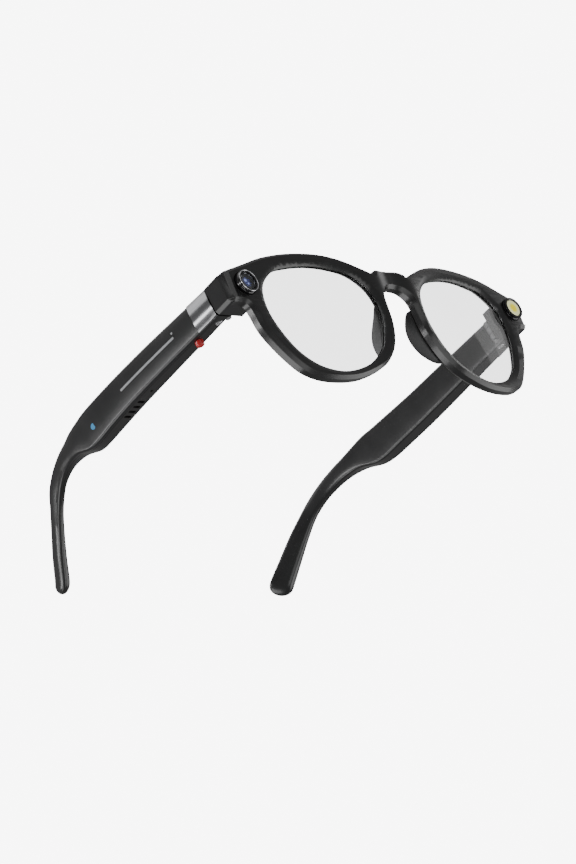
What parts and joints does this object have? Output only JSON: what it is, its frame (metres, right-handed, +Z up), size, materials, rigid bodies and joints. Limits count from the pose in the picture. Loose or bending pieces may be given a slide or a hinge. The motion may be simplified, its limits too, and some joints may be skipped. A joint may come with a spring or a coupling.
{
  "type": "smart glasses",
  "caption": "Round-lens smart glasses with a camera and a light in the end pieces, folding arms with a silver band, touch strip, press button and speaker.",
  "frame": {"origin": "under the middle of the whole object, at the height of the bottoms of the two rims", "axes": "+Z up as worn with the arms level, the wearer looks along -Y, +X towards the wearer's left"},
  "size_m": [0.1492, 0.1434, 0.0469],
  "materials": {
    "front_plastic": "satin black moulded plastic",
    "arm_plastic": "satin black moulded plastic",
    "lens": "clear polished lens",
    "nose_pad": "soft black silicone",
    "silver_band": "brushed silver",
    "hinge_steel": "turned steel",
    "bright_bezel": "polished",
    "black_bezel": "polished black",
    "camera_glass": "coated glass, deep blue reflection",
    "dark_component": "black moulding",
    "circuit_board": "green solder mask",
    "flexible_circuit": "amber film",
    "emitter": "yellow phosphor",
    "reflector": "white",
    "light_guide": "frosted pale plastic",
    "red_button": "satin red",
    "battery_foil": "foil pouch",
    "steel_mesh": "woven steel"
  },
  "bodies": {
    "front": {"brow_cover": "front_plastic", "brow_flex": "flexible_circuit", "camera_bezel": "bright_bezel", "camera_board": "circuit_board", "camera_module": "dark_component", "camera_window": "camera_glass", "end_cover_left": "front_plastic", "end_cover_right": "front_plastic", "front_frame": "front_plastic", "hinge_leaf_front_left": "hinge_steel", "hinge_leaf_front_right": "hinge_steel", "hinge_screw_left": "hinge_steel", "hinge_screw_right": "hinge_steel", "lens_left": "lens", "lens_right": "lens", "light_bezel": "black_bezel", "light_board": "circuit_board", "light_emitter": "emitter", "light_reflector": "reflector", "light_window": "lens", "nose_pad_left": "nose_pad", "nose_pad_right": "nose_pad"},
    "right_temple": {"outer_shell_right": "arm_plastic", "inner_shell_right": "arm_plastic", "accent_band_right": "silver_band", "hinge_leaf_temple_right": "hinge_steel", "fixing_screw_right": "hinge_steel", "battery_right": "battery_foil", "circuit_board_right": "circuit_board", "touch_strip": "light_guide", "status_light": "light_guide", "button_switch": "hinge_steel", "speaker": "dark_component", "speaker_mesh": "steel_mesh", "microphone": "hinge_steel"},
    "left_temple": {"outer_shell_left": "arm_plastic", "inner_shell_left": "arm_plastic", "accent_band_left": "silver_band", "hinge_leaf_temple_left": "hinge_steel", "fixing_screw_left": "hinge_steel", "battery_left": "battery_foil", "circuit_board_left": "circuit_board"},
    "button": {"capture_button": "red_button"}
  },
  "joints": [
    {"name": "right_temple_fold", "type": "hinge", "parent": "front", "child": "right_temple", "pos_m": [-0.0652, -0.05294, 0.0343], "axis": [0, 0, -1], "range_deg": [0, 84]},
    {"name": "left_temple_fold", "type": "hinge", "parent": "front", "child": "left_temple", "pos_m": [0.0652, -0.05294, 0.0343], "axis": [0, 0, 1], "range_deg": [0, 71]},
    {"name": "capture_button_press", "type": "slide", "parent": "right_temple", "child": "button", "axis": [0, 0, 1], "range_m": [0, 0.0005], "stiffness_N_per_m": 1500, "springref_m": -0.0003}
  ]
}
